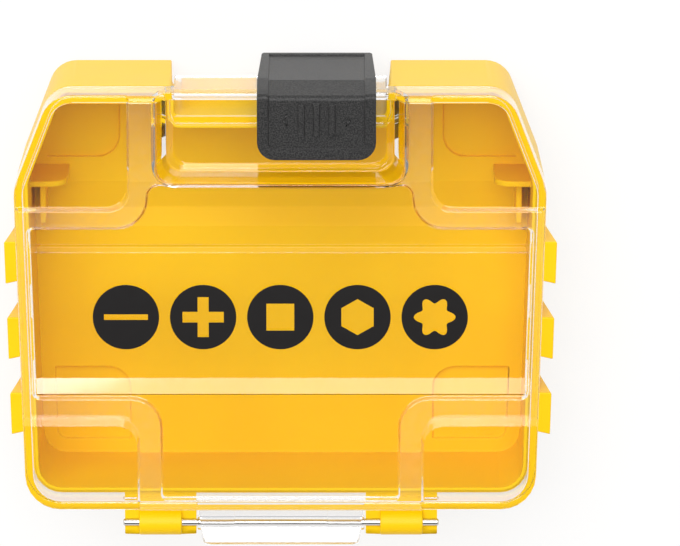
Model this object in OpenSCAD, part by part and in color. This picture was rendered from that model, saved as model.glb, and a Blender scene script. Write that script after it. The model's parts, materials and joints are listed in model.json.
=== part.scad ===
// Hinged case for screwdriver bits: moulded tray, clear lid, sliding latch and steel hinge pin.
// It lies on its back: +Z points out of the lid, +Y to the latch side, +X along the hinge.
// The modules work with y = 0 at the latch-side edge of the lid; centre_y moves them into the frame.

/* [Case] */
// Width of the lid at the lower ends of its cut corners
case_w = 118.4; // [112:0.2:128]
// Width of the lid at the hinge side
hinge_side_w = 114; // [108:0.2:124]
// Height of the lid from the hinge side to the latch side
case_h = 95.2; // [90:0.2:104]
// Depth of the tray, feet included
tray_d = 32.5; // [28:0.5:40]
// Depth of the lid
lid_d = 11.5; // [11:0.25:14]
// Width of each cut corner beside the latch
cut_w = 8.2; // [6:0.2:10]
// Height of each cut corner
cut_h = 21.5; // [18:0.5:26]
// Radius of the corners at the latch side
top_r = 7; // [4:0.5:9]
// Radius of the corners at the lower ends of the cuts
side_r = 9; // [6:0.5:14]
// Radius of the corners at the hinge side
hinge_r = 8; // [5:0.5:10]

/* [Tray] */
// Wall of the tray at its back
tray_wall = 2; // [1.6:0.1:2.2]
// Draft of the tray walls from rim to back
tray_draft = 0.8; // [0.4:0.1:1.2]
// Rounding of the outer back edge
back_round = 1.6; // [0.8:0.1:2.4]
// Height of the feet and depth of the matching pads inside
foot_h = 1; // [0.6:0.1:1.2]
// Inset of the feet from the outline
foot_inset = 5; // [4:0.2:7]
// Width of a foot
foot_w = 18.5; // [14:0.5:24]
// Length of a foot
foot_l = 19; // [14:0.5:24]
// Height of the lip that enters the lid
lip_h = 1.2; // [0.6:0.1:2]
// Distance of the floor groove's deepest line from the latch side
groove_y = 35; // [30:0.5:40]
// Width of the slope above that line
groove_upper_w = 6.3; // [4:0.1:8]
// Width of the slope below that line
groove_lower_w = 4.2; // [3:0.1:6]
// Depth of the floor groove
groove_d = 1.8; // [0.8:0.1:1.9]
// Height of the ridge on the back that carries the groove
ridge_h = 0.8; // [0:0.1:0.9]

/* [Rack holders] */
// Distance of the holder shelves from the latch side
shelf_y = 24.7; // [20:0.1:30]
// Reach of a shelf from the side wall
shelf_reach = 8.2; // [6:0.1:10]
// Thickness of shelf and post
holder_wall = 1.3; // [1:0.1:1.8]
// Height of the holders above the floor
holder_h = 17.5; // [12:0.5:20]
// Gap between side wall and post
post_gap = 2; // [1.4:0.1:3]
// Length of a post
post_l = 10.5; // [6:0.5:14]

/* [Side teeth] */
// Number of teeth on each side
tooth_count = 3; // [1:1:3]
// Distance of the first tooth from the latch side
tooth_first = 35.8; // [32:0.2:40]
// Spacing of the teeth
tooth_pitch = 17.45; // [14:0.05:19]
// Length of a tooth's front face
tooth_l = 9.7; // [7:0.1:12]
// How far a tooth stands out at the rim
tooth_out = 3.1; // [2:0.1:4]
// How much shorter a tooth is at its root
tooth_undercut = 0.7; // [0:0.1:1.5]

/* [Lid] */
// Wall of the lid
lid_wall = 1.7; // [1.4:0.1:1.9]
// Rounding of the lid's front edge
front_round = 1; // [0.5:0.1:1.4]
// Running clearance between lid and tray
lid_gap = 0.3; // [0.2:0.05:0.5]
// Depth of the corner windows, which take the feet of a case stacked on the lid
window_d = 1.5; // [1.1:0.1:1.8]
// Width of a corner window at the latch side
top_window_w = 25.2; // [22:0.2:28]
// Height of a corner window at the latch side
top_window_h = 25.6; // [23:0.2:30]
// Width of a corner window at the hinge side
low_window_w = 25; // [22:0.2:28]
// Height of a corner window at the hinge side
low_window_h = 19.4; // [17:0.2:24]
// Width of the slopes at the sides of the corner windows
window_side_slope = 0.5; // [0.2:0.1:1.2]
// Width of the slope at the upper edge of a corner window at the hinge side
window_upper_slope = 2.4; // [0.4:0.1:3]
// Border of the front panel around the corner windows
panel_border = 4.6; // [3:0.2:6]
// Depth of the front panel
panel_d = 0.8; // [0.4:0.1:1.2]
// Width of the slope round the front panel
panel_slope = 0.4; // [0.2:0.1:0.6]
// Distance of the label field from the latch side
label_y = 35.9; // [33:0.1:40]
// Height of the label field
label_h = 28.8; // [20:0.2:32]
// Extra depth of the label field
label_d = 0.8; // [0.5:0.1:1]
// Width of the slope at the upper edge of the label field
label_upper_slope = 1.6; // [1:0.1:3]
// Width of the slope at the lower edge of the label field
label_lower_slope = 3.6; // [2:0.1:5]

/* [Latch seat] */
// Half width of the recess floor
seat_half_w = 23.7; // [22:0.1:26]
// Distance of the recess floor's lower edge from the latch side
seat_h = 16.8; // [15:0.1:19]
// Depth of the recess floor behind the lid front
seat_d = 7; // [6.4:0.1:7.4]
// Width of the sloped sides
seat_side_slope = 4; // [3:0.1:5]
// Width of the sloped lower end
seat_low_slope = 3.2; // [2:0.1:4]
// Width of the flat chamfer round the recess floor
seat_chamfer_w = 1.4; // [0:0.1:2]
// Height of that chamfer
seat_chamfer_h = 0.9; // [0.3:0.1:1.5]
// Corner radius of the recess
seat_r = 3.6; // [2:0.1:5]
// Depth of the tray's top wall below the shoulders
notch_drop = 6.5; // [6:0.1:8]
// Thickness of the rail that carries the latch
rail_t = 1.7; // [1.4:0.1:2]
// Distance of the rail's front edge from the lid front
rail_front = 4.3; // [4:0.1:4.8]
// Distance of the rail's rear edge from the lid front
rail_rear = 22; // [19:0.1:24]

/* [Latch] */
// Width of the latch
latch_w = 26.4; // [22:0.2:28]
// Place of the latch's middle along the rail
latch_x = 8.1; // [6:0.1:9]
// Length of the latch's front leg below the rail's top
latch_leg = 14.4; // [12:0.1:15]
// Thickness of the latch's walls
latch_wall = 2; // [1.6:0.1:2.2]
// Depth of the latch from front to rear
latch_d = 36.4; // [34:0.2:38]
// Distance of the crease between chamfer and top from the lid front
latch_crease = 8.8; // [7:0.1:11]
// Running clearance between latch and rail
latch_gap = 0.3; // [0.2:0.05:0.4]
// Corner radius of the latch's front face
latch_r = 4; // [2:0.1:6]
// Rounding of the edge between the front face and the chamfer
latch_edge_r = 1.2; // [0.4:0.1:2]
// Corner radius of the latch's rear end
latch_rear_r = 2.4; // [0.5:0.1:3]
// Width of the raised rim
latch_rim = 2.5; // [1.5:0.1:4]
// Depth of the panel inside the rim
latch_panel_d = 0.4; // [0.2:0.05:0.6]
// How far the latch's rear end is narrower on each side
latch_rear_taper = 0.8; // [0:0.1:2]
// Reach of the hooks that hold the latch on the rail
hook_reach = 2; // [1.2:0.1:2.2]
// Thickness of the hooks
hook_t = 1.6; // [1.2:0.1:2]
// Length of the rear leg below the rail's top
rear_leg = 5.6; // [4.6:0.1:6]
// Thickness of the rear leg and of the catch rib on the tray
catch_t = 2; // [1.6:0.1:2.4]
// Height of the catch rib above the tray's lowered wall
catch_h = 3.4; // [3:0.1:4]
// Length of the catch rib
catch_l = 17; // [10:0.2:17.2]
// Number of grip bars
grip_count = 3; // [1:1:5]
// Spacing of the grip bars
grip_pitch = 3.4; // [2.6:0.1:4]
// Width of a grip bar
grip_w = 1.4; // [1:0.1:2]
// Length of a grip bar
grip_l = 7.4; // [5:0.1:9]
// Height of a grip bar
grip_h = 0.4; // [0.2:0.05:0.6]

/* [Hinge] */
// Radius of the pin
pin_r = 0.8; // [0.7:0.05:1]
// Radial clearance of the pin in its bores
pin_gap = 0.05; // [0.02:0.01:0.09]
// Distance of the pin from the outline at the hinge side
pin_out = 5.7; // [5.6:0.1:7]
// Length of the pin past each bracket
pin_over = 0.4; // [0.2:0.1:0.8]
// Outer radius of the brackets
bracket_r = 2.8; // [2.2:0.1:3.2]
// Width of a bracket
bracket_w = 16.1; // [12:0.1:20]
// Width of the closed middle of a bracket
wrap_w = 9.6; // [6:0.1:11]
// Width of the lid's tongue between the brackets
tongue_w = 37.6; // [30:0.2:44]
// Side clearance between tongue and bracket
tongue_gap = 0.3; // [0.2:0.05:0.6]
// Reach of the tongue past the pin
tongue_reach = 5; // [3.6:0.1:5.1]
// Thickness of the tongue in front of and behind the pin's axis
tongue_half_t = 1.7; // [1.4:0.1:1.9]
// Narrowing of the tongue at its end, each side
tongue_taper = 1.2; // [0:0.1:2]
// Width of the thin window in the tongue
tongue_window_w = 21; // [12:0.2:26]

/* [Hidden] */
eps = 0.02;
arc_steps = 6;
round_steps = 3;
bore_fn = 48;
least_r = 0.3;

case_d = tray_d + lid_d;
half_w = case_w / 2;
hinge_half_w = hinge_side_w / 2;
rim_inset = tray_wall + tray_draft;
panel_inset = rim_inset + lid_gap;
floor_z = foot_h + tray_wall;
notch_half_w = seat_half_w + lid_gap;
latch_rise = latch_gap + latch_wall;
centre_y = (case_h + pin_out + tongue_reach - latch_rise) / 2;
pin_y = -case_h - pin_out;
pin_z = tray_d;
bracket_x = tongue_w / 2 + tongue_gap;
pin_half_l = bracket_x + bracket_w + pin_over;

// Corner points, counter-clockwise from the hinge side's left end, and their radii.
lid_corners = [
    [-hinge_half_w, -case_h], [hinge_half_w, -case_h], [half_w, -cut_h], [half_w - cut_w, 0],
    [cut_w - half_w, 0], [-half_w, -cut_h]];
lid_radii = [hinge_r, hinge_r, side_r, top_r, top_r, side_r];
tray_corners = [
    [-hinge_half_w, -case_h], [hinge_half_w, -case_h], [half_w, -cut_h], [half_w - cut_w, 0],
    [notch_half_w, 0], [notch_half_w, -notch_drop], [-notch_half_w, -notch_drop], [-notch_half_w, 0],
    [cut_w - half_w, 0], [-half_w, -cut_h]];
tray_radii = [hinge_r, hinge_r, side_r, top_r, 1, 1.4, 1.4, 1, top_r, side_r];

function unit(v) = v / norm(v);

// Half the inner angle at a corner, and 1 where the outline turns outwards or -1 where it turns inwards.
function half_angle(before, corner, after) = acos(unit(before - corner) * unit(after - corner)) / 2;
function turn(before, corner, after) = sign(cross(after - corner, before - corner));
function inward(before, corner, after) =
    turn(before, corner, after) * unit(unit(before - corner) + unit(after - corner));

// Corner i of an outline moved in by e.
function moved(pts, i, e) =
    let (n = len(pts), before = pts[(i + n - 1) % n], after = pts[(i + 1) % n])
    pts[i] + inward(before, pts[i], after) * e / sin(half_angle(before, pts[i], after));
function moved_radius(pts, radii, i, e) =
    let (n = len(pts), way = turn(pts[(i + n - 1) % n], pts[i], pts[(i + 1) % n]))
    max(least_r, radii[i] - way * e);

// Arc of radius r that rounds a corner.
function corner_arc(before, corner, after, r, steps) =
    let (a = unit(before - corner), b = unit(after - corner), half = acos(a * b) / 2,
        centre = corner + unit(a + b) * r / sin(half),
        first = corner + a * r / tan(half) - centre,
        last = corner + b * r / tan(half) - centre,
        start = atan2(first.y, first.x),
        sweep = atan2(cross(first, last), first * last))
    [for (k = [0:steps]) centre + r * [cos(start + sweep * k / steps), sin(start + sweep * k / steps)]];

// Rounded outline, inset by e.
function outline(pts, radii, e = 0, steps = arc_steps) =
    let (n = len(pts), p = [for (i = [0:n - 1]) moved(pts, i, e)])
    [for (i = [0:n - 1])
        each corner_arc(p[(i + n - 1) % n], p[i], p[(i + 1) % n], moved_radius(pts, radii, i, e), steps)];

// Solid through outlines of equal length, each given as [z, points], with flat ends.
module loft(rings) {
    n = len(rings[0][1]);
    low = rings[0][0];
    high = rings[len(rings) - 1][0];
    long = concat([[low - 1, rings[0][1]]], rings, [[high + 1, rings[len(rings) - 1][1]]]);
    last = len(long) - 1;
    points = [for (ring = long) each [for (p = ring[1]) [p.x, p.y, ring[0]]]];
    sides = [for (j = [0:last - 1], i = [0:n - 1])
        let (a = j * n + i, b = j * n + (i + 1) % n) each [[b, a, a + n], [b, a + n, b + n]]];
    intersection() {
        polyhedron(points = points,
            faces = concat([[for (i = [0:n - 1]) i]], sides, [[for (i = [n - 1:-1:0]) last * n + i]]));
        block([-2 * case_w, -2 * case_w, low], [2 * case_w, 2 * case_w, high]);
    }
}

// Quarter-round steps of radius r, as [height, inset] from the flat face to the wall.
function quarter(r) = [for (k = [0:round_steps])
    let (a = 90 * k / round_steps) [r * (1 - cos(a)), r * (1 - sin(a))]];

module at_sides() {
    children();
    mirror([1, 0, 0]) children();
}

// Outer face of the side wall at the rim, at height y.
function side_x(y) = half_w - (half_w - hinge_half_w) * (-y - cut_h) / (case_h - cut_h);

// Extrudes a y-z or an x-z profile along the third axis.
module along_x(x0, x1) {
    translate([x0, 0, 0]) rotate([90, 0, 90]) linear_extrude(x1 - x0) children();
}
module along_y(y0, y1) {
    translate([0, y1, 0]) rotate([90, 0, 0]) linear_extrude(y1 - y0) children();
}

// Box between two corners.
module block(low, high) {
    translate(low) cube(high - low);
}

// ---- Tray ----

function groove_half_l() = side_x(-groove_y) - rim_inset - back_round;

// Outlines of the four feet, moved in by e.
module foot_plan(e) {
    top_x = half_w - foot_inset - foot_w + e;
    low_x = hinge_half_w - foot_inset - foot_w + e;
    top_y = -foot_inset - foot_l + e;
    low_y = foot_inset + foot_l - case_h - e;
    r = [foot_inset, foot_inset, foot_inset, foot_inset];
    intersection() {
        polygon(outline(lid_corners, lid_radii, foot_inset + e));
        union() at_sides() {
            polygon(outline([[top_x, top_y], [case_w, top_y], [case_w, case_w], [top_x, case_w]], r));
            polygon(outline([[low_x, -2 * case_h], [case_w, -2 * case_h], [case_w, low_y], [low_x, low_y]], r));
        }
    }
}

// Ridge across the back, behind the floor groove.
module back_ridge() {
    ridge_half_l = groove_half_l();
    share = (ridge_h + tray_wall / 2) / groove_d;
    along_x(-ridge_half_l, ridge_half_l) polygon([
        [groove_upper_w * share - groove_y, foot_h + tray_wall / 2], [-groove_y, foot_h - ridge_h],
        [-groove_lower_w * share - groove_y, foot_h + tray_wall / 2]]);
}

module tray_body() {
    rise = tray_d - foot_h;
    lofted = [for (q = quarter(back_round))
        [foot_h + q[0], outline(tray_corners, tray_radii, tray_draft * (1 - q[0] / rise) + q[1])]];
    loft(concat(lofted, [[tray_d, outline(tray_corners, tray_radii)]]));
    linear_extrude(foot_h + eps) foot_plan(0);
    back_ridge();
    translate([0, 0, tray_d - eps]) linear_extrude(lip_h + eps)
        polygon(outline(tray_corners, tray_radii, lid_wall + lid_gap));
}

module tray_hollow() {
    translate([0, 0, floor_z]) linear_extrude(case_d) polygon(outline(tray_corners, tray_radii, rim_inset));
    translate([0, 0, tray_wall]) linear_extrude(foot_h + eps) foot_plan(tray_wall / 2);
    along_x(-groove_half_l(), groove_half_l()) polygon([
        [groove_upper_w - groove_y, floor_z + eps], [-groove_y, floor_z - groove_d],
        [-groove_lower_w - groove_y, floor_z + eps]]);
}

module rack_holder() {
    wall_x = side_x(-shelf_y) - rim_inset;
    top_z = floor_z + holder_h;
    post_x = wall_x - post_gap - holder_wall;
    shelf_r = shelf_reach / 2;
    along_y(-shelf_y - holder_wall, -shelf_y) polygon(outline([
        [wall_x - shelf_reach, floor_z - eps], [wall_x + tray_wall / 2, floor_z - eps],
        [wall_x + tray_wall / 2, top_z], [wall_x - shelf_reach, top_z]], [least_r, least_r, least_r, shelf_r]));
    block([post_x, -shelf_y - post_l, floor_z - groove_d], [post_x + holder_wall, -shelf_y - eps, top_z - shelf_r]);
}

// Grip teeth: full width at the rim, fading out at the back.
module side_tooth(y) {
    root = tray_wall / 2;
    x0 = side_x(y);
    x1 = side_x(y - tooth_l);
    back_z = foot_h + back_round;
    intersection() {
        along_y(y - tooth_l, y) polygon([
            [x1 - tray_draft - root, back_z], [x0 - tray_draft, back_z], [x0 + tooth_out, tray_d],
            [x1 - tray_draft - root, tray_d]]);
        linear_extrude(tray_d) polygon([
            [x1 - rim_inset, y], [x1 - rim_inset, y - tooth_l + tooth_undercut], [x1, y - tooth_l + tooth_undercut],
            [x1 + tooth_out, y - tooth_l], [x0 + tooth_out, y]]);
    }
}

module bracket() {
    side_w = (bracket_w - wrap_w) / 2;
    end_x = bracket_x + bracket_w;
    wall_y = tray_wall / 2 - case_h;
    web_z = pin_z - lid_gap;
    difference() {
        union() {
            translate([bracket_x, pin_y, pin_z]) rotate([0, 90, 0]) cylinder(h = bracket_w, r = bracket_r, $fn = bore_fn);
            along_x(bracket_x, end_x) polygon([
                [pin_y, pin_z - bracket_r], [wall_y, pin_z - 2 * bracket_r], [wall_y, web_z], [pin_y, web_z]]);
        }
        for (x = [bracket_x - eps, end_x - side_w])
            block([x, pin_y - bracket_r - eps, pin_z], [x + side_w + eps, pin_y + bracket_r + eps, case_d]);
    }
}

module pin_bore(half_l) {
    translate([-half_l, pin_y, pin_z]) rotate([0, 90, 0]) cylinder(h = 2 * half_l, r = pin_r + pin_gap, $fn = bore_fn);
}

// Rib that stands on the lowered wall; the latch's rear leg slides behind it.
module catch_rib() {
    z0 = case_d - latch_d + catch_t + latch_gap;
    x1 = latch_x - latch_w / 2 - lid_gap;
    block([x1 - catch_l, -notch_drop - tray_wall, z0], [x1, catch_h - notch_drop, z0 + catch_t]);
}

module tray() color("gold") translate([0, centre_y, 0]) difference() {
    union() {
        difference() {
            tray_body();
            tray_hollow();
        }
        at_sides() {
            rack_holder();
            for (i = [0:tooth_count - 1]) side_tooth(-tooth_first - i * tooth_pitch);
            bracket();
        }
        catch_rib();
    }
    pin_bore(pin_half_l + 1);
}

// ---- Lid ----

module lid_body() {
    front = quarter(front_round);
    lofted = [for (i = [round_steps:-1:0])
        [case_d - front[i][0], outline(lid_corners, lid_radii, front[i][1])]];
    loft(concat([[tray_d, outline(lid_corners, lid_radii)]], lofted));
}

// Recess for the latch, with a chamfered floor and sloped sides, grown by e.
module latch_seat(e) {
    open_y = 2 * top_r;
    function seat(half, low) = outline(
        [[-half, -low], [half, -low], [half, open_y], [-half, open_y]], [seat_r, seat_r, 1, 1], -e);
    loft([[case_d - seat_d - e, seat(seat_half_w, seat_h)],
        [case_d - seat_d - e + seat_chamfer_h, seat(seat_half_w + seat_chamfer_w, seat_h + seat_chamfer_w)],
        [case_d + eps, seat(seat_half_w + seat_side_slope, seat_h + seat_low_slope)]]);
}

// Label field across the front, with sloped upper and lower edges. Grown by e, it gives the inner face,
// whose slopes run parallel to the outer ones.
module label_field(e) {
    inset = panel_inset - e;
    upper_y = -label_y + e * tan(atan(label_d / label_upper_slope) / 2);
    low_y = -label_y - label_h - e * tan(atan(label_d / label_lower_slope) / 2);
    top_z = case_d - panel_d - e;
    rise = label_d + eps;
    intersection() {
        along_x(-case_w, case_w) polygon([
            [low_y, top_z - label_d], [upper_y, top_z - label_d],
            [upper_y + label_upper_slope * rise / label_d, top_z + eps],
            [low_y - label_lower_slope * rise / label_d, top_z + eps]]);
        linear_extrude(2 * case_d) polygon([
            [inset - hinge_half_w, -case_h], [hinge_half_w - inset, -case_h],
            [half_w - inset, -cut_h], [inset - half_w, -cut_h]]);
    }
}

// Lowered front panel: it goes round the corner windows and the latch seat.
module front_panel() {
    edge = panel_inset;
    low_x = hinge_half_w - low_window_w - panel_border - 1;
    top_x = half_w - top_window_w - panel_border;
    low_y = low_window_h + window_upper_slope + panel_border - case_h;
    top_y = -top_window_h - panel_border;
    seat_y = -seat_h - seat_low_slope - least_r;
    half = [[low_x, edge - case_h], [low_x, low_y], [side_x(low_y) - edge, low_y], [side_x(top_y) - edge, top_y],
        [top_x, top_y], [top_x, seat_y]];
    radii = [1, 7, 1, 1, 7, 2.5];
    left = [for (i = [5:-1:0]) [-half[i].x, half[i].y]];
    pts = concat(half, left);
    all_radii = concat(radii, [for (i = [5:-1:0]) radii[i]]);
    loft([[case_d - panel_d, outline(pts, all_radii)], [case_d + eps, outline(pts, all_radii, -panel_slope)]]);
}

// Corner windows with sloped edges; the upper slope at the hinge side is the widest.
module corner_windows() {
    r = [panel_border, panel_border, panel_border, panel_border];
    function top_window(e) = let (x = half_w - top_window_w - e, y = -top_window_h - e)
        outline([[x, y], [case_w, y], [case_w, case_w], [x, case_w]], r);
    function low_window(e, upper) = let (x = hinge_half_w - low_window_w - e, y = low_window_h - case_h + upper)
        outline([[x, -2 * case_h], [case_w, -2 * case_h], [case_w, y], [x, y]], r);
    at_sides() {
        loft([[case_d - window_d, top_window(0)], [case_d + eps, top_window(window_side_slope)]]);
        loft([[case_d - window_d, low_window(0, 0)],
            [case_d + eps, low_window(window_side_slope, window_upper_slope)]]);
    }
}

// Tongue that turns on the pin between the brackets.
module tongue() {
    end_y = pin_y - tongue_reach;
    half = tongue_w / 2;
    root_y = lid_wall / 2 - case_h;
    lip = tongue_half_t / 2;
    difference() {
        union() {
            translate([-half, pin_y, pin_z]) rotate([0, 90, 0]) cylinder(h = tongue_w, r = tongue_half_t, $fn = bore_fn);
            intersection() {
                along_x(-half, half) polygon([
                    [end_y, pin_z - lip], [pin_y, pin_z - tongue_half_t], [pin_y, pin_z], [root_y, pin_z],
                    [root_y, pin_z + tongue_half_t], [end_y + lip, pin_z + tongue_half_t], [end_y, pin_z + lip]]);
                translate([0, 0, pin_z - tongue_half_t]) linear_extrude(2 * tongue_half_t)
                    polygon(outline([[tongue_taper - half, end_y], [half - tongue_taper, end_y],
                        [half, root_y], [-half, root_y]], [2, 2, least_r, least_r]));
            }
        }
        block([-tongue_window_w / 2, end_y + tongue_reach / 2, pin_z + tongue_half_t - lip / 2],
            [tongue_window_w / 2, -case_h - lid_wall / 2, case_d]);
    }
}

module lid() color([0.95, 0.97, 1, 0.35]) translate([0, centre_y, 0]) difference() {
    seat_back = case_d - seat_d;
    slope_at_rail = seat_chamfer_w
        + (seat_side_slope - seat_chamfer_w) * (seat_d - rail_front - seat_chamfer_h) / (seat_d - seat_chamfer_h);
    union() {
        difference() {
            lid_body();
            difference() {
                ceiling = case_d - lid_wall - panel_d;
                translate([0, 0, tray_d - 1]) linear_extrude(ceiling - tray_d + 1)
                    polygon(outline(tray_corners, tray_radii, lid_wall));
                latch_seat(lid_wall);
                label_field(lid_wall);
            }
            latch_seat(0);
            label_field(0);
            front_panel();
            corner_windows();
            block([-notch_half_w, -notch_drop, tray_d - eps], [notch_half_w, -rail_t, seat_back - lid_wall]);
        }
        block([-seat_half_w - slope_at_rail - eps, -rail_t, seat_back - eps],
            [seat_half_w + slope_at_rail + eps, 0, case_d - rail_front]);
        block([-seat_half_w, -rail_t, case_d - rail_rear], [seat_half_w, 0, tray_d + eps]);
        tongue();
    }
    pin_bore(pin_half_l);
}

// ---- Latch ----

// Rounded edge between the latch's front face and its chamfer, set back by p, as [depth, y].
function latch_edge(p) = corner_arc(
    [p, -latch_leg], [p, latch_gap - p], [latch_crease, latch_rise - p], latch_edge_r, arc_steps);

// Section from the front leg over the rail to the rear leg, as [depth, y].
module latch_section() {
    hook_top = -rail_t - latch_gap;
    hook_low = hook_top - hook_t;
    rear_in = rail_rear + latch_gap;
    points = [
        [0, -latch_leg], each latch_edge(0), [latch_crease, latch_rise], [latch_d - 1, latch_rise],
        [latch_d, latch_rise - 1], [latch_d, -rear_leg], [latch_d - catch_t, -rear_leg],
        [latch_d - catch_t, latch_gap], [rear_in + hook_t, latch_gap], [rear_in + hook_t, hook_low],
        [rail_rear - hook_reach, hook_low], [rail_rear - hook_reach, hook_top], [rear_in, hook_top],
        [rear_in, latch_gap], [rail_front - latch_gap, latch_gap], [rail_front - latch_gap, hook_top],
        [rail_front + hook_reach, hook_top], [rail_front + hook_reach, hook_low], [latch_wall, hook_low],
        [latch_wall, -latch_leg]];
    polygon([for (p = points) [p[1], case_d - p[0]]]);
}

// Front outline of the latch, inset by e.
module latch_front(e) {
    half = latch_w / 2;
    top = 2 * latch_leg;
    polygon(outline([[-half, -latch_leg], [half, -latch_leg], [half, top], [-half, top]],
        [latch_r, latch_r, 1, 1], e));
}

module latch() color([0.18, 0.18, 0.18]) translate([latch_x, centre_y, 0]) {
    half = latch_w / 2;
    low_z = case_d - latch_d;
    p = latch_panel_d;
    difference() {
        intersection() {
            along_x(-half, half) latch_section();
            linear_extrude(2 * case_d) latch_front(0);
            along_y(-case_h, case_h) polygon(outline(
                [[latch_rear_taper - half, low_z], [half - latch_rear_taper, low_z],
                [half, case_d - latch_crease], [half, case_d + 2], [-half, case_d + 2], [-half, case_d - latch_crease]],
                [latch_rear_r, latch_rear_r, 1, 1, 1, 1]));
        }
        intersection() {
            along_x(-half, half) polygon([
                [-case_h, case_d - p], for (q = latch_edge(p)) [q[1], case_d - q[0]],
                [latch_rise - p, case_d - latch_crease], [latch_rise - p, low_z + latch_rim],
                [case_h, low_z + latch_rim], [case_h, 2 * case_d], [-case_h, 2 * case_d]]);
            linear_extrude(2 * case_d) latch_front(latch_rim);
        }
    }
    first = -(grip_count - 1) / 2 * grip_pitch;
    for (i = [0:grip_count - 1])
        translate([first + i * grip_pitch - grip_w / 2, -grip_l - 1.8, case_d - p - eps])
            cube([grip_w, grip_l, grip_h + eps]);
}

// ---- Hinge pin ----

module hinge_pin() color("silver") translate([-pin_half_l, centre_y + pin_y, pin_z]) rotate([0, 90, 0]) {
    tip = pin_r / 3;
    translate([0, 0, tip]) cylinder(h = 2 * (pin_half_l - tip), r = pin_r, $fn = bore_fn);
    cylinder(h = tip, r1 = pin_r - tip, r2 = pin_r, $fn = bore_fn);
    translate([0, 0, 2 * pin_half_l - tip]) cylinder(h = tip, r1 = pin_r, r2 = pin_r - tip, $fn = bore_fn);
}

tray();
lid();
latch();
hinge_pin();
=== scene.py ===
"""Looks of a pocket case for screwdriver bits: tray, clear lid, sliding latch and hinge pin.

Lengths are in metres and angles in radians; a name with a unit at its end is in that unit.
"""
import itertools
import json
import math

import bmesh
import bpy
from mathutils import Matrix, Vector
from mathutils.geometry import intersect_point_line


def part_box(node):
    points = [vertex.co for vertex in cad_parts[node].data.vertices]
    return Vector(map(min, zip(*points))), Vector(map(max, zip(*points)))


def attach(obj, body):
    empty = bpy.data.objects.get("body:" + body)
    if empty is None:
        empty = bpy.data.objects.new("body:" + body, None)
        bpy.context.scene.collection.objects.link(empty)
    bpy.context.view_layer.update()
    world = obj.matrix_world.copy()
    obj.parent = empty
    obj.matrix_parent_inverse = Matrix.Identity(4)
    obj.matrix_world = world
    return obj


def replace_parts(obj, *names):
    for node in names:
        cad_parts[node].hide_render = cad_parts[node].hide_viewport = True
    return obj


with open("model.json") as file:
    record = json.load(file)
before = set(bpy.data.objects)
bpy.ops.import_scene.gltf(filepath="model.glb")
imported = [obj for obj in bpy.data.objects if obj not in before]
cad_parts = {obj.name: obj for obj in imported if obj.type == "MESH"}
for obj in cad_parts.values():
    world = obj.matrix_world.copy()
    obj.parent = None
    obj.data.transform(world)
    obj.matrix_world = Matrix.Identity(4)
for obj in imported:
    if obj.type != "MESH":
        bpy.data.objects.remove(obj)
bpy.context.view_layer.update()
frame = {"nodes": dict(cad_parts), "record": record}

MM = 0.001

# Camera: it looks down on the lid, tilted to the latch side.
CAMERA_TILT = math.radians(14.0)
CAMERA_DISTANCE = 1.746
CAMERA_TARGET = Vector((13.3, 11.7, 44.0)) * MM
FOCAL_PX = 7853
IMAGE_WIDTH_PX = 680
SENSOR_MM = 36

# Places on the mouldings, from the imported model.
LID_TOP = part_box("lid")[1].z
LATCH_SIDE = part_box("lid")[1].y
PANEL_TOP = LID_TOP - 0.8 * MM
LABEL_FLOOR = LID_TOP - 1.6 * MM
LABEL_Y = LATCH_SIDE - 50.6 * MM
LATCH_X = (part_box("latch")[0].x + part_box("latch")[1].x) / 2
LATCH_PANEL = LID_TOP - 0.4 * MM
TRAY_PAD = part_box("tray")[0].z + 2.0 * MM


# ---- Node helpers ----

def linear(hex_colour):
    """A linear RGBA colour from an sRGB hex string."""
    channels = [int(hex_colour[i:i + 2], 16) / 255 for i in (1, 3, 5)]
    return [c / 12.92 if c <= 0.04045 else ((c + 0.055) / 1.055) ** 2.4 for c in channels] + [1.0]


def add_node(tree, kind, settings=None, links=None):
    """Adds a node. settings are attributes or input values, links are input name to output socket."""
    node = tree.nodes.new(kind)
    for name, value in (settings or {}).items():
        if name in node.inputs:
            node.inputs[name].default_value = value
        else:
            setattr(node, name, value)
    for name, socket in (links or {}).items():
        tree.links.new(socket, node.inputs[name])
    return node


def new_material(name):
    """An empty material, its node tree and its output node."""
    material = bpy.data.materials.new(name)
    material.use_nodes = True
    material.node_tree.nodes.clear()
    output = add_node(material.node_tree, "ShaderNodeOutputMaterial")
    return material, material.node_tree, output


def own_place(tree):
    """The point's place in its object, which is the place in the shared frame."""
    return add_node(tree, "ShaderNodeTexCoord").outputs["Object"]


def noise(tree, place, scale, detail=2.0):
    """A noise of so many cells to the metre."""
    node = add_node(tree, "ShaderNodeTexNoise", {"Scale": scale, "Detail": detail}, {"Vector": place})
    return node.outputs["Fac"]


def spread(tree, value, low, high, start=0.0, end=1.0):
    """Low where the value is at its start, high at its end."""
    node = add_node(tree, "ShaderNodeMapRange", {
        "From Min": start, "From Max": end, "To Min": low, "To Max": high}, {"Value": value})
    return node.outputs["Result"]


def two_tones(tree, value, low, high):
    """A colour between two stops; each stop is a position and a hex colour."""
    node = add_node(tree, "ShaderNodeValToRGB", links={"Fac": value})
    for element, (position, colour) in zip(node.color_ramp.elements, (low, high)):
        element.position = position
        element.color = linear(colour)
    return node.outputs["Color"]


def relief(tree, height, strength, distance):
    """A normal from a height."""
    node = add_node(tree, "ShaderNodeBump", {"Strength": strength, "Distance": distance}, {"Height": height})
    return node.outputs["Normal"]


def calculate(tree, operation, first, second):
    """Two values put together; the second may be a plain number."""
    node = add_node(tree, "ShaderNodeMath", {"operation": operation})
    tree.links.new(first, node.inputs[0])
    if isinstance(second, float):
        node.inputs[1].default_value = second
    else:
        tree.links.new(second, node.inputs[1])
    return node.outputs["Value"]


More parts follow.
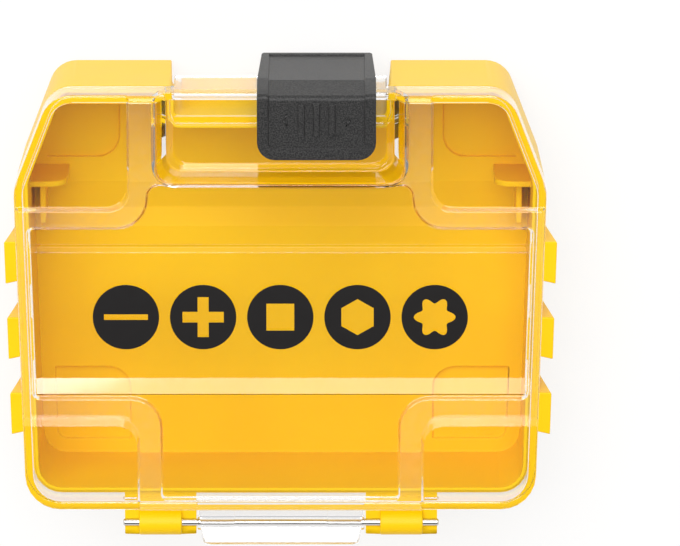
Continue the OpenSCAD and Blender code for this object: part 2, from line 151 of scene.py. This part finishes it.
def mixed(tree, share, first, second):
    """A mix of two shader nodes, with the second's share."""
    node = add_node(tree, "ShaderNodeMixShader", links={"Fac": share})
    tree.links.new(first.outputs[0], node.inputs[1])
    tree.links.new(second.outputs[0], node.inputs[2])
    return node


def any_ray(tree, kinds):
    """1 for the given kinds of ray."""
    path = add_node(tree, "ShaderNodeLightPath")
    found = path.outputs[kinds[0]]
    for kind in kinds[1:]:
        found = calculate(tree, "MAXIMUM", found, path.outputs[kind])
    return found


# ---- Materials ----

def satin_polypropylene():
    """Injection-moulded yellow polypropylene: satin gloss and faint flow marks."""
    material, tree, output = new_material("satin_polypropylene")
    place = own_place(tree)
    flow = noise(tree, place, 35.0, 3.0)
    # Under the lid the sheen is weaker, or the white studio would veil the colour.
    under_lid = add_node(tree, "ShaderNodeLightPath").outputs["Transmission Depth"]
    shader = add_node(tree, "ShaderNodeBsdfPrincipled", {
        "IOR": 1.49, "Subsurface Weight": 0.04, "Subsurface Scale": 1.5 * MM,
        "Subsurface Radius": (1.0, 0.5, 0.1)}, {
        "Base Color": two_tones(tree, flow, (0.3, "#F6C404"), (0.7, "#FACB06")),
        "Roughness": spread(tree, flow, 0.3, 0.42),
        "Specular IOR Level": spread(tree, under_lid, 0.2, 0.05),
        "Normal": relief(tree, noise(tree, place, 2500.0), 0.05, 0.05 * MM)})
    tree.links.new(shader.outputs["BSDF"], output.inputs["Surface"])
    return material


def clear_polycarbonate():
    """Clear moulded polycarbonate: glossy, scuffed on its border; it lets lamp light through to the tray."""
    material, tree, output = new_material("clear_polycarbonate")
    place = own_place(tree)
    clear = add_node(tree, "ShaderNodeBsdfPrincipled", {
        "Base Color": linear("#FEFEFE"), "IOR": 1.585, "Roughness": 0.03, "Transmission Weight": 1.0},
        {"Normal": relief(tree, noise(tree, place, 60.0), 0.08, 0.1 * MM)})
    # The raised border is scuffed pale by stacking.
    height = add_node(tree, "ShaderNodeSeparateXYZ", links={"Vector": place}).outputs["Z"]
    border = spread(tree, height, 0.0, 1.0, LID_TOP - 0.5 * MM, LID_TOP - 0.1 * MM)
    scuffs = spread(tree, noise(tree, place, 700.0, 4.0), 0.01, 0.08)
    pale = add_node(tree, "ShaderNodeBsdfDiffuse", {"Color": linear("#FAF7F4")})
    surface = mixed(tree, calculate(tree, "MULTIPLY", border, scuffs), clear, pale)
    # Shadow and diffuse rays pass straight, and so do rays that the walls have turned three times.
    depth = add_node(tree, "ShaderNodeLightPath").outputs["Ray Depth"]
    trapped = calculate(tree, "GREATER_THAN", depth, 2.5)
    straight = calculate(tree, "MAXIMUM", any_ray(tree, ("Is Shadow Ray", "Is Diffuse Ray")), trapped)
    open_way = add_node(tree, "ShaderNodeBsdfTransparent", {"Color": linear("#FCFCFD")})
    tree.links.new(mixed(tree, straight, surface, open_way).outputs["Shader"], output.inputs["Surface"])
    return material


def black_nylon(name, grain_height, roughness):
    """Black glass-filled nylon with the grain that its mould's surface gives it."""
    material, tree, output = new_material(name)
    # The real grain is about 0.1 mm wide; it is drawn at 0.3 mm so that it shows in the render.
    grain = noise(tree, own_place(tree), 3300.0, 3.0)
    shader = add_node(tree, "ShaderNodeBsdfPrincipled", {
        "IOR": 1.53, "Roughness": roughness, "Specular IOR Level": 0.35}, {
        "Base Color": two_tones(tree, grain, (0.4, "#0E0E0F"), (0.62, "#383736")),
        "Normal": relief(tree, grain, 0.8, grain_height)})
    tree.links.new(shader.outputs["BSDF"], output.inputs["Surface"])
    return material


def drawn_steel():
    """Bright drawn steel wire: fine lines along the pin."""
    material, tree, output = new_material("drawn_steel")
    along = add_node(tree, "ShaderNodeMapping", {"Scale": (60.0, 4000.0, 4000.0)},
                     {"Vector": own_place(tree)})
    lines = noise(tree, along.outputs["Vector"], 1.0)
    shader = add_node(tree, "ShaderNodeBsdfPrincipled", {"Base Color": linear("#D8D5D0"), "Metallic": 1.0},
                      {"Roughness": spread(tree, lines, 0.12, 0.28)})
    tree.links.new(shader.outputs["BSDF"], output.inputs["Surface"])
    return material


def pad_print_ink():
    """Black pad-printing ink: flat and slightly uneven."""
    material, tree, output = new_material("pad_print_ink")
    mottle = noise(tree, own_place(tree), 400.0)
    shader = add_node(tree, "ShaderNodeBsdfPrincipled", {
        "Base Color": linear("#1C1A1A"), "Specular IOR Level": 0.2},
        {"Roughness": spread(tree, mottle, 0.35, 0.5)})
    tree.links.new(shader.outputs["BSDF"], output.inputs["Surface"])
    return material


def floor_paper():
    """Matt white paper: lifted to white, but not so far that its shadow is lost."""
    material, tree, output = new_material("paper_floor")
    fibre = noise(tree, own_place(tree), 300.0)
    bump = add_node(tree, "ShaderNodeBump", {"Strength": 0.02}, {"Height": fibre})
    paper = add_node(tree, "ShaderNodeBsdfDiffuse", {"Color": linear("#F4F4F4")},
                     {"Normal": bump.outputs["Normal"]})
    white = add_node(tree, "ShaderNodeEmission", {"Color": (1, 1, 1, 1), "Strength": 1.0})
    # Diffuse rays see plain paper, so it lights the case no more than paper would.
    seen = any_ray(tree, ("Is Camera Ray", "Is Glossy Ray", "Is Transmission Ray"))
    lifted = mixed(tree, calculate(tree, "MULTIPLY", seen, 0.8), paper, white)
    tree.links.new(lifted.outputs["Shader"], output.inputs["Surface"])
    return material


# ---- Rounded edges ----

# Points of the CAD's mesh this near are one, and faces this thin are dropped.
WELD = 0.002 * MM
SLIVER = 0.03 * MM
# The CAD leaves tiny steps this high and this long beside the lid's panel.
CRUMB_HEIGHT = 0.022 * MM
CRUMB_LENGTH = 0.2 * MM
# Faces that meet at less than these angles become one face, or count as one plane.
MERGE_ANGLE = math.radians(0.3)
PLANE_ANGLE = math.radians(0.5)
# Sizes of face, and the folds between them that are shaded smooth.
WIDE_FACE = 3 * MM
NARROW_FACE = 0.6 * MM
WIDE_FOLD_DEG = 6
NARROW_FOLD_DEG = 35
# Roundings fill this much of an edge at most; a crowded one shrinks in steps down to a least share.
FULL = 0.98
SHRINK = 0.75
LEAST_SHARE = 0.7
# Corners sharper or straighter than this count as this.
LEAST_TURN = 0.05
# Two edges face each other when the dot product of their inward directions is under this.
FACING = -0.5
# Folds over this are rounded on the small added pieces.
SMALL_PIECE_ANGLE_DEG = 40


def face_width(face):
    """About the width of a long face."""
    return 2 * face.calc_area() / face.calc_perimeter()


def used_length(loop, other, corner, radius, weight):
    """Length along a loop's edge that the rounding of it and of its neighbour takes at a corner."""
    turn = min(max(corner.calc_angle(), LEAST_TURN), math.pi - LEAST_TURN)
    own, next_to_it = loop.edge[weight], other.edge[weight]
    if not next_to_it:
        return 0.0
    return max(radius * (next_to_it + own * math.cos(turn)) / math.sin(turn), 0.0)


def shrink_crowded_edges(bm, radius, weight):
    """Lowers the weight of an edge's shorter neighbour until the roundings at both ends have room."""
    crowded = True
    while crowded:
        crowded = False
        for loop in (loop for face in bm.faces for loop in face.loops):
            before, after = loop.link_loop_prev, loop.link_loop_next
            used = (used_length(loop, before, loop, radius, weight),
                    used_length(loop, after, after, radius, weight))
            if sum(used) > FULL * loop.edge.calc_length():
                ends = [other.edge for other, length in zip((before, after), used) if length > 0]
                shorter = min(ends, key=lambda edge: edge.calc_length())
                shorter[weight] = shorter[weight] * SHRINK if shorter[weight] > LEAST_SHARE else 0.0
                crowded = True


def flat_regions(bm):
    """Groups of faces that touch and lie in one plane."""
    seen = set()
    for start in bm.faces:
        if start in seen:
            continue
        seen.add(start)
        region = []
        front = [start]
        while front:
            face = front.pop()
            region.append(face)
            for edge in face.edges:
                if edge.calc_face_angle(0) < PLANE_ANGLE:
                    front += [beyond for beyond in edge.link_faces if beyond not in seen]
                    seen.update(edge.link_faces)
        yield region


def inward(loop):
    """Direction from a loop's edge into its face."""
    return loop.face.normal.cross(loop.link_loop_next.vert.co - loop.vert.co).normalized()


def facing_gap(loop, other):
    """Gap between two edges that face each other across a flat region, or infinity."""
    if set(loop.edge.verts) & set(other.edge.verts):
        return math.inf
    way = inward(loop)
    if way.dot(inward(other)) > FACING or way.dot(other.vert.co - loop.vert.co) <= 0:
        return math.inf
    gaps = []
    for ends, line in ((loop.edge.verts, other.edge.verts), (other.edge.verts, loop.edge.verts)):
        for vert in ends:
            nearest, share = intersect_point_line(vert.co, line[0].co, line[1].co)
            if 0 <= share <= 1:
                gaps.append((vert.co - nearest).length)
    return min(gaps, default=math.inf)


def drop_facing_edges(bm, radius, weight):
    """Where two rounded edges face each other with no room between them, the shorter stays sharp."""
    for region in flat_regions(bm):
        rounded = [loop for face in region for loop in face.loops if loop.edge[weight]]
        for loop, other in itertools.combinations(rounded, 2):
            used = radius * (loop.edge[weight] + other.edge[weight])
            if loop.edge[weight] and other.edge[weight] and facing_gap(loop, other) < FULL * used:
                min(loop.edge, other.edge, key=lambda edge: edge.calc_length())[weight] = 0.0


def smooth_fold_deg(width, angle_deg):
    """Folds under this are shaded smooth, beside a face of this width."""
    if width < NARROW_FACE:
        return NARROW_FOLD_DEG
    return angle_deg if width < WIDE_FACE else WIDE_FOLD_DEG


def weigh_edges(bm, radius, angle_deg):
    """Gives each sharp edge the share of the radius that it has room for; edges with none stay sharp."""
    weight = bm.edges.layers.float.new("bevel_weight_edge")
    inner = [edge for edge in bm.edges if len(edge.link_faces) == 2]
    for edge in inner:
        if edge.calc_face_angle(0) > math.radians(angle_deg):
            edge[weight] = 1.0
    shrink_crowded_edges(bm, radius, weight)
    drop_facing_edges(bm, radius, weight)
    for edge in inner:
        if not edge[weight]:
            width = min(face_width(face) for face in edge.link_faces)
            edge.smooth = math.degrees(edge.calc_face_angle(0)) < smooth_fold_deg(width, angle_deg)


def finish_piece(bm, name, material, body, radius):
    """Makes a rounded object at the origin from a weighed bmesh, riding on a body."""
    for face in bm.faces:
        face.smooth = face_width(face) < WIDE_FACE
    mesh = bpy.data.meshes.new(name)
    bm.to_mesh(mesh)
    bm.free()
    mesh.materials.append(material)
    piece = bpy.data.objects.new(name, mesh)
    bpy.context.scene.collection.objects.link(piece)
    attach(piece, body)
    bevel = piece.modifiers.new("edge_radius", "BEVEL")
    bevel.width = radius
    bevel.segments = 2
    bevel.limit_method = "WEIGHT"
    bevel.miter_outer = "MITER_ARC"
    bevel.use_clamp_overlap = False
    weighted = piece.modifiers.new("flat_faces", "WEIGHTED_NORMAL")
    weighted.weight = 80
    weighted.keep_sharp = True
    return piece


# ---- Mouldings ----

def merge_crumbs(bm, level):
    """Merges the tiny steps at a height, which would spoil the rounding."""
    near = [vert for vert in bm.verts if abs(vert.co.z - level) < CRUMB_HEIGHT]
    bmesh.ops.remove_doubles(bm, verts=near, dist=CRUMB_LENGTH)


def moulding(node, name, material, radius, angle_deg=25, crumb_level=None):
    """A merged copy of a CAD node with softened edges, standing for that node."""
    bm = bmesh.new()
    bm.from_mesh(frame["nodes"][node].data)
    bmesh.ops.remove_doubles(bm, verts=bm.verts, dist=WELD)
    if crumb_level:
        merge_crumbs(bm, crumb_level)
    bmesh.ops.dissolve_degenerate(bm, dist=SLIVER, edges=bm.edges)
    bmesh.ops.dissolve_limit(bm, angle_limit=MERGE_ANGLE, verts=bm.verts, edges=bm.edges)
    weigh_edges(bm, radius, angle_deg)
    bodies = frame["record"]["behaviour"]["bodies"]
    body = next(body for body, members in bodies.items() if node in members)
    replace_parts(finish_piece(bm, name, material, body, radius), node)


# ---- Printed discs ----

DISC_RADIUS = 7.4 * MM
DISC_PITCH = 17.2 * MM
# The openings' corners lie on whole segments of the disc.
DISC_SEGMENTS = 96
PRINT_HEIGHT = 0.25 * MM
PRINT_EDGE = 0.05 * MM

SLOT_HALF_LENGTH = 4.9 * MM
SLOT_CORNER = math.radians(7.5)
CROSS_HALF_LENGTH = 4.6 * MM
CROSS_CORNER = math.radians(15)
SQUARE_HALF_SIDE = 3.1 * MM
HEXAGON_INNER_RADIUS = 3.6 * MM
LOBES = 6
LOBE_MEAN_MM = 3.9
LOBE_HEIGHT_MM = 0.75


def rectangle_reach(angle, half_length, half_width):
    """Distance from the middle of a rectangle to its edge at an angle."""
    across = max(abs(math.cos(angle)), 1e-9)
    up = max(abs(math.sin(angle)), 1e-9)
    return min(half_length / across, half_width / up)


def slot_reach(angle):
    return rectangle_reach(angle, SLOT_HALF_LENGTH, SLOT_HALF_LENGTH * math.tan(SLOT_CORNER))


def cross_reach(angle):
    arm = (CROSS_HALF_LENGTH, CROSS_HALF_LENGTH * math.tan(CROSS_CORNER))
    return max(rectangle_reach(angle, *arm), rectangle_reach(angle, *reversed(arm)))


def square_reach(angle):
    return rectangle_reach(angle, SQUARE_HALF_SIDE, SQUARE_HALF_SIDE)


def hexagon_reach(angle):
    from_flat = (angle + math.pi / 6) % (math.pi / 3) - math.pi / 6
    return HEXAGON_INNER_RADIUS / math.cos(from_flat)


def lobe_reach(angle):
    return (LOBE_MEAN_MM + LOBE_HEIGHT_MM * math.cos(LOBES * angle)) * MM


def drive_symbols(material):
    """Raised, printed discs across the label field, with the openings of the usual screw drives."""
    bm = bmesh.new()
    reaches = (slot_reach, cross_reach, square_reach, hexagon_reach, lobe_reach)
    for number, reach in enumerate(reaches):
        outer, opening = (
            bmesh.ops.create_circle(bm, segments=DISC_SEGMENTS, radius=radius)["verts"]
            for radius in (DISC_RADIUS, DISC_RADIUS / 2))
        for vert in opening:
            angle = math.atan2(vert.co.y, vert.co.x)
            vert.co = vert.co.normalized() * reach(angle)
        ring = outer + opening
        edges = list(dict.fromkeys(edge for vert in ring for edge in vert.link_edges))
        faces = bmesh.ops.bridge_loops(bm, edges=edges)["faces"]
        place = Vector(((number - (len(reaches) - 1) / 2) * DISC_PITCH, LABEL_Y, LABEL_FLOOR))
        bmesh.ops.translate(bm, vec=place, verts=ring)
        top = bmesh.ops.extrude_face_region(bm, geom=faces, use_keep_orig=True)["geom"]
        top_verts = [part for part in top if isinstance(part, bmesh.types.BMVert)]
        bmesh.ops.translate(bm, vec=(0, 0, PRINT_HEIGHT), verts=top_verts)
    bmesh.ops.recalc_face_normals(bm, faces=bm.faces)
    weigh_edges(bm, PRINT_EDGE, SMALL_PIECE_ANGLE_DEG)
    finish_piece(bm, "drive_symbols", material, "lid", PRINT_EDGE)


# ---- Small relief ----

RELIEF_EDGE = 0.06 * MM

# Arrowheads: distance of the tips from the latch's middle and from its side, and a stroke's sizes.
ARROW_TIP_X = 7.5 * MM
ARROW_TIP_Y = 5.5 * MM
ARROW_SLANT_DEG = 50
ARROW_STROKE = (1.6 * MM, 0.34 * MM, 0.5 * MM)

# Mould marks: their middles, and the radius and height of each step, half of it in the floor.
DIAL_MIDDLES = ((38.8 * MM, -34.4 * MM), (47.0 * MM, -34.4 * MM))
DIAL_STEPS = ((2.4 * MM, 0.3 * MM), (1.2 * MM, 0.5 * MM))
DIAL_SEGMENTS = 48


def latch_arrows(material):
    """Two raised arrowheads beside the grip bars that show which way the latch slides."""
    bm = bmesh.new()
    for side in (-1, 1):
        tip = Vector((LATCH_X + side * ARROW_TIP_X, LATCH_SIDE - ARROW_TIP_Y, LATCH_PANEL))
        for way in (-1, 1):
            turn = Matrix.Rotation(math.radians(-side * way * ARROW_SLANT_DEG), 4, "Z")
            shift = Matrix.Translation((-side * ARROW_STROKE[0] / 2, 0, 0))
            size = Matrix.Diagonal((*ARROW_STROKE, 1))
            bmesh.ops.create_cube(bm, size=1, matrix=Matrix.Translation(tip) @ turn @ shift @ size)
    weigh_edges(bm, RELIEF_EDGE, SMALL_PIECE_ANGLE_DEG)
    finish_piece(bm, "latch_arrows", material, "latch", RELIEF_EDGE)


def mould_dials(material):
    """Two flat round marks that the mould's inserts leave in the corner of the tray's floor."""
    bm = bmesh.new()
    for x, y in DIAL_MIDDLES:
        for radius, height in DIAL_STEPS:
            bmesh.ops.create_cone(
                bm, cap_ends=True, segments=DIAL_SEGMENTS, radius1=radius, radius2=radius, depth=height,
                matrix=Matrix.Translation((x, y, TRAY_PAD)))
    weigh_edges(bm, RELIEF_EDGE, SMALL_PIECE_ANGLE_DEG)
    finish_piece(bm, "mould_dials", material, "tray", RELIEF_EDGE)


def dress_case():
    """Every visible piece with its material."""
    yellow = satin_polypropylene()
    clear = clear_polycarbonate()
    black = black_nylon("eroded_black_nylon", 0.1 * MM, 0.42)
    steel = drawn_steel()
    moulding("tray", "tray_moulding", yellow, 0.3 * MM, 17)
    moulding("lid", "lid_moulding", clear, 0.25 * MM, 17, crumb_level=PANEL_TOP)
    moulding("latch", "latch_moulding", black, 0.14 * MM)
    moulding("hinge_pin", "pin_wire", steel, 0.1 * MM)
    drive_symbols(pad_print_ink())
    latch_arrows(black_nylon("polished_black_nylon", 0.01 * MM, 0.2))
    mould_dials(yellow)


# ---- Stage, lamps and camera ----

FLOOR_HALF_SIDE = 4.0


def paper_floor():
    """A pale floor, wide enough for every view."""
    bm = bmesh.new()
    bmesh.ops.create_grid(bm, x_segments=2, y_segments=2, size=FLOOR_HALF_SIDE)
    mesh = bpy.data.meshes.new("paper_floor")
    bm.to_mesh(mesh)
    bm.free()
    mesh.materials.append(floor_paper())
    floor = bpy.data.objects.new("paper_floor", mesh)
    bpy.context.scene.collection.objects.link(floor)


def soft_lamp(name, place, size, power):
    """A square area lamp that points at the case."""
    light = bpy.data.lights.new(name, "AREA")
    light.size = size
    light.energy = power
    lamp = bpy.data.objects.new(name, light)
    lamp.location = place
    lamp.rotation_euler = (CAMERA_TARGET - Vector(place)).to_track_quat("-Z", "Y").to_euler()
    bpy.context.scene.collection.objects.link(lamp)


def world_light():
    """White studio walls under a dim ceiling; diffuse light comes evenly from all round."""
    world = bpy.data.worlds.new("studio")
    world.use_nodes = True
    tree = world.node_tree
    tree.nodes.clear()
    output = add_node(tree, "ShaderNodeOutputWorld")
    way = add_node(tree, "ShaderNodeTexCoord").outputs["Generated"]
    height = add_node(tree, "ShaderNodeSeparateXYZ", links={"Vector": way}).outputs["Z"]
    level = spread(tree, height, 1.0, 0.22, 0.3, 0.7)
    walls = add_node(tree, "ShaderNodeBackground", {"Color": (1, 1, 1, 1)}, {"Strength": level})
    even = add_node(tree, "ShaderNodeBackground", {"Color": (1, 1, 1, 1), "Strength": 0.56})
    light = mixed(tree, any_ray(tree, ("Is Diffuse Ray",)), walls, even)
    tree.links.new(light.outputs["Shader"], output.inputs["Surface"])
    bpy.context.scene.world = world


def photo_camera():
    """The camera at the photograph's angle and distance."""
    camera = bpy.data.cameras.new("camera")
    camera.sensor_width = SENSOR_MM
    camera.lens = FOCAL_PX / IMAGE_WIDTH_PX * SENSOR_MM
    camera.clip_end = 20
    holder = bpy.data.objects.new("camera", camera)
    back = Vector((0, math.sin(CAMERA_TILT), math.cos(CAMERA_TILT)))
    holder.location = CAMERA_TARGET + back * CAMERA_DISTANCE
    holder.rotation_euler = (-CAMERA_TILT, 0, 0)
    bpy.context.scene.collection.objects.link(holder)
    bpy.context.scene.camera = holder


dress_case()
paper_floor()
world_light()
soft_lamp("key_lamp", place=(-0.2, 0.7, 1.2), size=1.1, power=15.5)
soft_lamp("top_lamp", place=(0.0, 0.27, 1.3), size=0.5, power=2)
photo_camera()
bpy.context.scene.view_settings.view_transform = "Standard"
